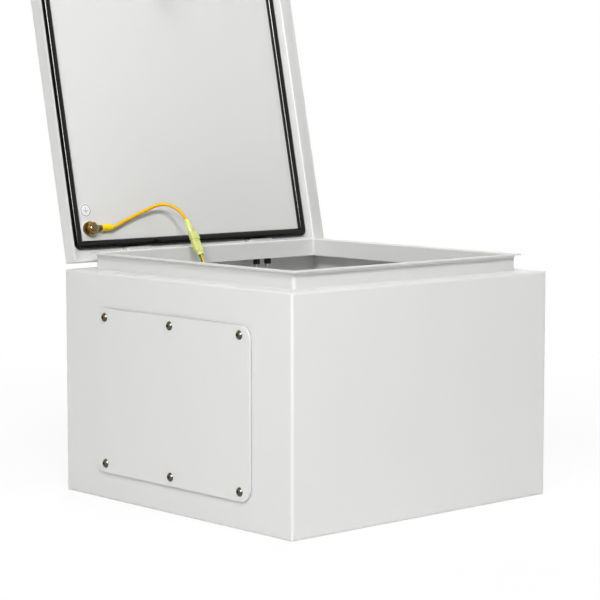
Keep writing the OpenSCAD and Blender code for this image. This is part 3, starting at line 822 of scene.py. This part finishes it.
@dataclass
class Tube:
    """A round flexible tube along a smooth line through a route's points."""

    MAP = "around_lead"

    name: str
    route: list[Vector]
    radius: float
    stripe_turn: float
    sides: int = 16
    steps: int = 6

    def line(self) -> list[Vector]:
        """Gives the smooth line through the route's points.

        Returns:
            The line's points, from the first route point to the last.
        """
        ends = [self.route[0] * 2 - self.route[1], *self.route, self.route[-1] * 2 - self.route[-2]]
        points = []
        for before, here, there, after in zip(ends, ends[1:], ends[2:], ends[3:]):
            for step in range(self.steps):
                t = step / self.steps
                bend = here * 2 + (there - before) * t
                bend += (before * 2 - here * 5 + there * 4 - after) * t**2
                bend += (here * 3 - before - there * 3 + after) * t**3
                points.append(bend / 2)
        return [*points, self.route[-1].copy()]

    def length(self) -> float:
        """Gives the length of the smooth line."""
        line = self.line()
        return sum((b - a).length for a, b in zip(line, line[1:]))

    def build(self) -> Piece:
        """Builds the tube, with a map that runs round it and along it.

        Returns:
            The tube's piece.
        """
        line = self.line()
        faces, turns = self.faces(len(line))
        mesh = bpy.data.meshes.new(self.name)
        mesh.from_pydata(self.corners(line), [], faces)
        around = mesh.uv_layers.new(name=self.MAP)
        for face, steps in zip(mesh.polygons, turns):
            face.use_smooth = face.loop_total < self.sides
            for loop, step in zip(face.loop_indices, steps):
                row = mesh.loops[loop].vertex_index // self.sides
                around.data[loop].uv = (step / self.sides + self.stripe_turn, row / len(line))
        return Bench.added(self.name, mesh)

    def corners(self, line: list[Vector]) -> list[Vector]:
        """Gives the tube's corners, ring after ring, with no twist from one ring to the next.

        Args:
            line: The tube's middle line.

        Returns:
            The corners.
        """
        corners = []
        side = Vector((0.0, -1.0, 0.0))
        for i, centre in enumerate(line):
            heading = (line[min(i + 1, len(line) - 1)] - line[max(i - 1, 0)]).normalized()
            side = (side - heading * side.dot(heading)).normalized()
            lift = heading.cross(side)
            for k in range(self.sides):
                angle = 2 * math.pi * k / self.sides
                corners.append(centre + (side * math.cos(angle) + lift * math.sin(angle)) * self.radius)
        return corners

    def faces(self, rings: int) -> tuple[list[tuple[int, ...]], list[tuple[int, ...]]]:
        """Gives the faces between the rings and at both ends.

        Args:
            rings: The number of rings.

        Returns:
            Each face's corners, and each face's steps round the tube at these corners.
        """
        faces, turns = [], []
        for ring in range(0, (rings - 1) * self.sides, self.sides):
            for k in range(self.sides):
                after = (k + 1) % self.sides
                faces.append((ring + k, ring + after, ring + self.sides + after, ring + self.sides + k))
                turns.append((k, k + 1, k + 1, k))
        last = (rings - 1) * self.sides
        faces += [tuple(reversed(range(self.sides))), tuple(range(last, last + self.sides))]
        turns += [(0,) * self.sides] * 2
        return faces, turns


@dataclass
class Connector:
    """One half of the push-on joint, modelled along Z from where the lead goes in.

    The boot is how far the barrel is widened, and the shoulder how far the shell is drawn in at its foot.
    """

    name: str
    node: str
    barrel_length: float
    length: float
    width: float
    shift: float = 0.0
    boot: float = 1.25
    shoulder: float = 0.96
    has_tab: bool = False
    thickness: float = 0.0065
    shell_edge: float = 0.0014
    shell_edge_steps: int = 3
    window_border: float = 0.0012
    window_depth: float = 0.0003
    barrel_radius: float = 0.0036
    barrel_edge: float = 0.0005
    bore_radius: float = 0.0024
    bore_depth: float = 0.0025
    tab_width: float = 0.0063
    tab_thickness: float = 0.0008
    tab_length: float = 0.008
    tab_play: float = 0.0002
    overlap: float = 0.0005

    def build(self, place: Matrix) -> Piece:
        """Builds the connector.

        Args:
            place: Where the lead goes in, with Z along the connector.

        Returns:
            The connector's piece.
        """
        piece = self.barrel()
        Bench.fuse(piece, self.shell(), Fuse.ADD)
        if self.has_tab:
            size = (self.tab_thickness, self.tab_width, self.tab_length + self.overlap)
            middle = (0.0, 0.0, self.length + (self.tab_length - self.overlap) / 2)
            Bench.fuse(piece, Bench.block("tab", size, middle), Fuse.ADD)
        else:
            tab = (self.tab_thickness, self.tab_width, self.tab_length)
            size = tuple(side + 2 * self.tab_play for side in tab)
            middle = (0.0, 0.0, self.length - size[2] / 2 + self.overlap)
            Bench.fuse(piece, Bench.block("pocket", size, middle), Fuse.CUT)
        Bench.finish(piece, place)
        return piece

    def barrel(self) -> Piece:
        """Builds the barrel that the lead goes into, wider than it is thick.

        Returns:
            The barrel.
        """
        barrel = Bench.cylinder(self.name, self.barrel_radius, 0.0, self.barrel_length + self.overlap)
        Bench.bore(barrel, self.barrel_radius - self.bore_radius, self.bore_depth)
        Bench.pick(barrel, lambda spot: math.hypot(spot.x, spot.y) > self.barrel_radius - TOUCH)
        bpy.ops.transform.resize(value=(1.0, self.boot, 1.0), center_override=(0.0, 0.0, 0.0))
        Bench.close()
        Bench.ease(barrel, self.barrel_edge)
        return barrel

    def shell(self) -> Piece:
        """Builds the flat shell, drawn in at its foot, with a shallow window in each wide face.

        Returns:
            The shell.
        """
        body = self.length - self.barrel_length
        middle = (0.0, self.shift, self.barrel_length + body / 2)
        shell = Bench.block("shell", (self.thickness, self.width, body), middle)
        Bench.pick(shell, lambda spot: spot.z < self.barrel_length + TOUCH)
        bpy.ops.transform.resize(value=(self.shoulder, self.shoulder, 1.0), center_override=middle)
        Bench.close()
        Bench.ease(shell, self.shell_edge, self.shell_edge_steps)
        face = self.thickness / 2
        for out in (-1.0, 1.0):
            Bench.pick(shell, lambda spot: out * spot.x > face - TOUCH)
            bpy.ops.mesh.inset(thickness=self.window_border)
            bpy.ops.mesh.inset(thickness=self.window_depth, depth=-self.window_depth)
            Bench.close()
        return shell


@dataclass
class EarthLead:
    """The lead from the door to the body, in two stretches that meet at a push-on joint.

    The routes are places from the middle of the hinge line, with the door open.
    """

    hinge: DoorHinge
    points: EarthPoints
    diameter: float = 0.0042
    seat: float = 0.005
    door_stripe_turn: float = 0.0
    body_stripe_turn: float = 0.56
    socket_barrel: float = 0.017
    socket_width: float = 0.0125
    socket_shift: float = 0.0012
    tab_length: float = 0.0215
    tab_barrel: float = 0.004
    tab_width: float = 0.011
    tab_gap: float = 0.0003
    connector_seat: float = 0.0015
    connector_share: float = 0.58
    door_fold: int = 8
    body_fold: int = 4
    far_off: float = 10.0
    socket_start: Point = (-0.038, -0.019, 0.0355)
    connectors_meet: Point = (-0.039, -0.0355, 0.012)
    door_route: tuple[Point, ...] = (
        (-0.124, 0.0112, 0.0296),
        (-0.119, 0.0114, 0.0318),
        (-0.113, 0.0118, 0.0342),
        (-0.105, 0.0124, 0.037),
        (-0.097, 0.0129, 0.0398),
        (-0.0885, 0.013, 0.043),
        (-0.0805, 0.012, 0.046),
        (-0.0715, 0.011, 0.0495),
        (-0.0635, 0.009, 0.0525),
        (-0.0555, 0.0055, 0.054),
        (-0.049, 0.0005, 0.053),
        (-0.0435, -0.0055, 0.049),
        (-0.04, -0.0125, 0.043),
    )
    body_route: tuple[Point, ...] = (
        (-0.04, -0.0525, -0.013),
        (-0.04, -0.056, -0.0225),
        (-0.04, -0.057, -0.033),
        (-0.0395, -0.056, -0.0435),
        (-0.0385, -0.053, -0.054),
        (-0.0375, -0.048, -0.0635),
        (-0.037, -0.0415, -0.072),
        (-0.037, -0.0335, -0.0795),
        (-0.038, -0.0245, -0.0855),
        (-0.04, -0.0155, -0.0895),
        (-0.043, -0.0075, -0.091),
        (-0.048, -0.0015, -0.091),
        (-0.0545, 0.002, -0.091),
    )

    def __post_init__(self) -> None:
        """Works out the line of the two connectors."""
        line = Vector(self.connectors_meet) - Vector(self.socket_start)
        self.socket_length = line.length
        self.axis = line.normalized()
        self.across = Vector((1.0, 0.0, 0.0)).cross(self.axis).normalized()
        self.tab_end = Vector(self.connectors_meet) + self.axis * self.tab_length

    def at(self, place: Sequence[float]) -> Vector:
        """Moves a place from the hinge line's middle into the frame."""
        return Vector(place) + self.hinge.pin

    def build(self) -> None:
        """Builds both stretches and both connectors."""
        socket, tab = self.connectors()
        door = self.door_stretch()
        body = self.body_stretch()
        for tube, piece, node, mate in (
            (door, door.build(), "earth_lead_door", socket),
            (body, body.build(), "earth_lead_body", tab),
        ):
            FINISHES["lead_insulation"].dress(piece)
            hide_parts(node)
            self.tie(piece, node == "earth_lead_door")
            line = tube.line()
            tube.length()
            LOG.info("built %s, %.0f mm long", piece.name, tube.length() * 1000)

    def seated(self, body: Body) -> list[Vector]:
        """Gives the lead's first two points, inside a sleeve and at its mouth, with the door closed."""
        mouth = self.points.mouth(body)
        return [mouth - Vector((self.seat, 0.0, 0.0)), mouth]

    def door_stretch(self) -> Tube:
        """Gives the stretch from the door's terminal to the socket connector.

        Returns:
            The stretch.
        """
        start = [self.hinge.opened() @ p for p in self.seated(Body.DOOR)]
        end = Vector(self.socket_start) + self.axis * self.connector_seat
        hanging = [self.at(p) for p in (*self.door_route, self.socket_start, end)]
        return Tube("door_earth_lead", [*start, *hanging], self.diameter / 2, self.door_stripe_turn)

    def body_stretch(self) -> Tube:
        """Gives the stretch from the body's terminal to the tab connector.

        Returns:
            The stretch.
        """
        start = self.seated(Body.ENCLOSURE)
        end = self.tab_end - self.axis * self.connector_seat
        hanging = [self.at(p) for p in (*reversed(self.body_route), self.tab_end, end)]
        return Tube("body_earth_lead", [*start, *hanging], self.diameter / 2, self.body_stripe_turn)

    def connectors(self) -> tuple[Piece, Piece]:
        """Builds the socket connector on the door's stretch and the tab connector on the body's.

        Returns:
            The two pieces.
        """
        socket = Connector(
            "socket_connector", "lead_socket_connector", barrel_length=self.socket_barrel,
            length=self.socket_length, width=self.socket_width, shift=self.socket_shift,
        )
        tab = Connector(
            "tab_connector", "lead_tab_connector", barrel_length=self.tab_barrel,
            length=self.tab_length - self.tab_gap, width=self.tab_width, shoulder=1.0, has_tab=True,
        )
        return (
            self.place(socket, self.at(self.socket_start), self.axis),
            self.place(tab, self.at(self.tab_end), -self.axis),
        )

    def place(self, half: Connector, foot: Vector, heading: Vector) -> Piece:
        """Builds a connector in its place.

        Args:
            half: The connector.
            foot: Where the lead goes in.
            heading: The way from there to the other connector.

        Returns:
            The connector's piece.
        """
        thin = self.across
        wide = heading.cross(thin)
        turn = Matrix((thin, wide, heading)).transposed().to_4x4()
        piece = half.build(Matrix.Translation(foot) @ turn)
        FINISHES["clear_nylon"].dress(piece)
        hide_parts(half.node)
        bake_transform(piece)
        LOG.info("built %s", piece.name)
        return piece

    def tie(self, piece: Piece, on_door: bool) -> None:
        """Bakes a stretch's place into its mesh.

        Args:
            piece: The stretch.
            on_door: Whether it is the door's stretch.
        """
        if on_door:
            end = self.at(self.door_route[self.door_fold])
            start = end + (self.at(self.socket_start) - end) / (1.0 - self.connector_share)
        else:
            start = self.at(self.body_route[self.body_fold])
            end = start + (self.at(self.tab_end) - start) / self.connector_share
        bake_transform(piece)


@dataclass
class EarthSign:
    """The round earth sign on the door's inside: a white disc, a grey ring and the earth mark."""

    hinge: DoorHinge
    x: float = -0.1612
    y: float = 0.1371
    radius: float = 0.0085
    sides: int = 64
    film: float = 0.00015
    film_edge: float = 0.00006
    ink: float = 0.00004
    ring_radius: float = 0.0074
    ring_line: float = 0.001
    line: float = 0.0006
    stem: float = 0.0046
    bars: tuple[float, ...] = (0.0072, 0.0048, 0.0024)
    bar_pitch: float = 0.0015

    def build(self) -> None:
        """Builds the disc and its mark."""
        place = self.hinge.on_door(self.x, self.y)
        disc = Bench.cylinder("earth_sign_disc", self.radius, 0.0, self.film, self.sides)
        Bench.ease(disc, self.film_edge)
        mark = Bench.join([self.ring(), *self.strokes()])
        mark.name = "earth_sign_mark"
        for piece, finish in ((disc, SIGN_PAPER), (mark, SIGN_INK)):
            Bench.finish(piece, place)
            finish.dress(piece)
            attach(piece, Body.DOOR.value)
            LOG.info("built %s", piece.name)

    def ring(self) -> Piece:
        """Builds the ring round the mark, from a disc with its middle taken out.

        Returns:
            The ring.
        """
        ring = Bench.cylinder("ring", self.ring_radius, self.film, self.film + self.ink, self.sides)
        hole = Bench.cylinder("hole", self.ring_radius - self.ring_line, 0.0, self.radius, self.sides)
        Bench.fuse(ring, hole, Fuse.CUT)
        return ring

    def strokes(self) -> list[Piece]:
        """Builds the stem and the three bars below it.

        Returns:
            The four strokes.
        """
        z = self.film + self.ink / 2
        parts = [Bench.block("stem", (self.line, self.stem, self.ink), (0.0, self.stem / 2, z))]
        for i, width in enumerate(self.bars):
            parts.append(Bench.block("bar", (width, self.line, self.ink), (0.0, -i * self.bar_pitch, z)))
        return parts


@dataclass(frozen=True)
class Lamp:
    """A soft lamp that points at the object. Its power is in watts."""

    name: str
    place: Point
    power: float
    width: float
    height: float
    shows: Shows = Shows.BOTH

    def build(self, aim: Point) -> None:
        """Adds the lamp.

        Args:
            aim: The place that it points at.
        """
        data = bpy.data.lights.new(self.name, "AREA")
        data.shape = "RECTANGLE"
        data.size = self.width
        data.size_y = self.height
        data.energy = self.power
        lamp = bpy.data.objects.new(self.name, data)
        lamp.location = self.place
        lamp.visible_diffuse = self.shows is not Shows.GLOSS
        lamp.visible_glossy = self.shows is not Shows.MATT
        lamp.rotation_euler = (Vector(aim) - Vector(self.place)).to_track_quat("-Z", "Y").to_euler()
        bpy.context.scene.collection.objects.link(lamp)


LAMPS: tuple[Lamp, ...] = (
    Lamp("key_softbox", (-1.6, -2.0, 2.15), power=55.0, width=0.75, height=0.75),
    Lamp("front_softbox", (-2.25, -1.4, 1.6), power=30.0, width=0.5, height=0.3),
    Lamp("top_softbox", (0.1, -0.5, 2.9), power=31.0, width=2.2, height=2.2),
    Lamp("back_softbox", (1.7, 2.0, 1.0), power=42.0, width=1.6, height=1.6, shows=Shows.MATT),
    Lamp("left_strip", (-1.95, -1.4, 1.33), power=75.0, width=0.3, height=0.8, shows=Shows.GLOSS),
)


@dataclass
class Studio:
    """The pale floor, the soft light and the camera at the photograph's place.

    The floor is its own white to the camera, less so near the object, where it keeps a faint shadow.
    """

    eye: Point = (-1.675793, -1.837816, 0.475692)
    azimuth: float = -42.2385
    elevation: float = 5.6749
    lens: float = 127.615
    sensor: float = 36.0
    floor_side: float = 12.0
    floor_gap: float = 0.0003
    floor_grey: float = 0.92
    floor_white: float = 0.85
    floor_near: float = 0.5
    floor_far: float = 1.4
    ambient: float = 0.04
    aim: Point = (0.0, 0.0, 0.2)

    def build(self) -> None:
        """Sets the whole stage."""
        scene = bpy.context.scene
        scene.view_settings.view_transform = "Standard"
        self.camera(scene)
        self.floor()
        self.world(scene)
        for lamp in LAMPS:
            lamp.build(self.aim)

    def camera(self, scene: bpy.types.Scene) -> None:
        """Adds the camera.

        Args:
            scene: The scene that it films.
        """
        data = bpy.data.cameras.new("camera")
        data.lens = self.lens
        data.sensor_width = self.sensor
        camera = bpy.data.objects.new("camera", data)
        camera.location = self.eye
        camera.rotation_euler = (QUARTER_TURN - math.radians(self.elevation), 0.0, math.radians(self.azimuth))
        scene.collection.objects.link(camera)
        scene.camera = camera

    @staticmethod
    def seen(tree: Nodes) -> Socket:
        """Adds a value that is 1 for what the camera sees, also in metal and through clear plastic.

        Args:
            tree: The nodes that it joins.

        Returns:
            The socket with the value.
        """
        rays = tree.nodes.new("ShaderNodeLightPath")
        value = rays.outputs["Is Camera Ray"]
        for other in ("Is Glossy Ray", "Is Transmission Ray"):
            value = worked_out(tree, "MAXIMUM", value, rays.outputs[other])
        return value

    def floor(self) -> None:
        """Adds the white floor."""
        bpy.ops.object.select_all(action="DESELECT")
        bpy.ops.mesh.primitive_plane_add(size=self.floor_side, location=(0.0, 0.0, -self.floor_gap))
        floor = Bench.named("floor")
        floor.data.materials.append(self.floor_material())

    def floor_material(self) -> bpy.types.Material:
        """Makes the floor's material, a matt grey that is mixed with plain white where it is seen.

        Returns:
            The material.
        """
        material = bpy.data.materials.new("white_floor")
        material.use_nodes = True
        tree = material.node_tree
        tree.nodes.remove(tree.nodes["Principled BSDF"])
        matt = tree.nodes.new("ShaderNodeBsdfDiffuse")
        matt.inputs["Color"].default_value = (*[self.floor_grey] * 3, 1.0)
        glow = tree.nodes.new("ShaderNodeEmission")
        glow.inputs["Color"].default_value = (1.0, 1.0, 1.0, 1.0)
        place = tree.nodes.new("ShaderNodeTexCoord")
        reach = tree.nodes.new("ShaderNodeVectorMath")
        reach.operation = "LENGTH"
        tree.links.new(place.outputs["Object"], reach.inputs[0])
        span = (self.floor_near, self.floor_far)
        white = ranged(tree, reach.outputs["Value"], start=span, end=(self.floor_white, 1.0))
        mix = tree.nodes.new("ShaderNodeMixShader")
        tree.links.new(worked_out(tree, "MULTIPLY", self.seen(tree), white), mix.inputs["Fac"])
        tree.links.new(matt.outputs["BSDF"], mix.inputs[1])
        tree.links.new(glow.outputs["Emission"], mix.inputs[2])
        tree.links.new(mix.outputs["Shader"], tree.nodes["Material Output"].inputs["Surface"])
        return material

    def world(self, scene: bpy.types.Scene) -> None:
        """Sets a world that is white to the camera and lights the object at a plain level.

        Args:
            scene: The scene that it surrounds.
        """
        world = bpy.data.worlds.new("white_world")
        world.use_nodes = True
        tree = world.node_tree
        back = tree.nodes["Background"]
        back.inputs["Color"].default_value = (1.0, 1.0, 1.0, 1.0)
        level = ranged(tree, self.seen(tree), end=(self.ambient, 1.0))
        tree.links.new(level, back.inputs["Strength"])
        scene.world = world


def main() -> None:
    """Builds the stage and the pieces in order."""
    logging.basicConfig(level=logging.INFO, format="%(message)s")
    hinge = DoorHinge.from_frame()
    earth_points = EarthPoints(hinge)
    Studio().build()
    EarthLead(hinge, earth_points).build()
    dress_frame()
    earth_points.build()
    MountingStuds().build()
    EarthSign(hinge).build()


if __name__ == "__main__":
    main()
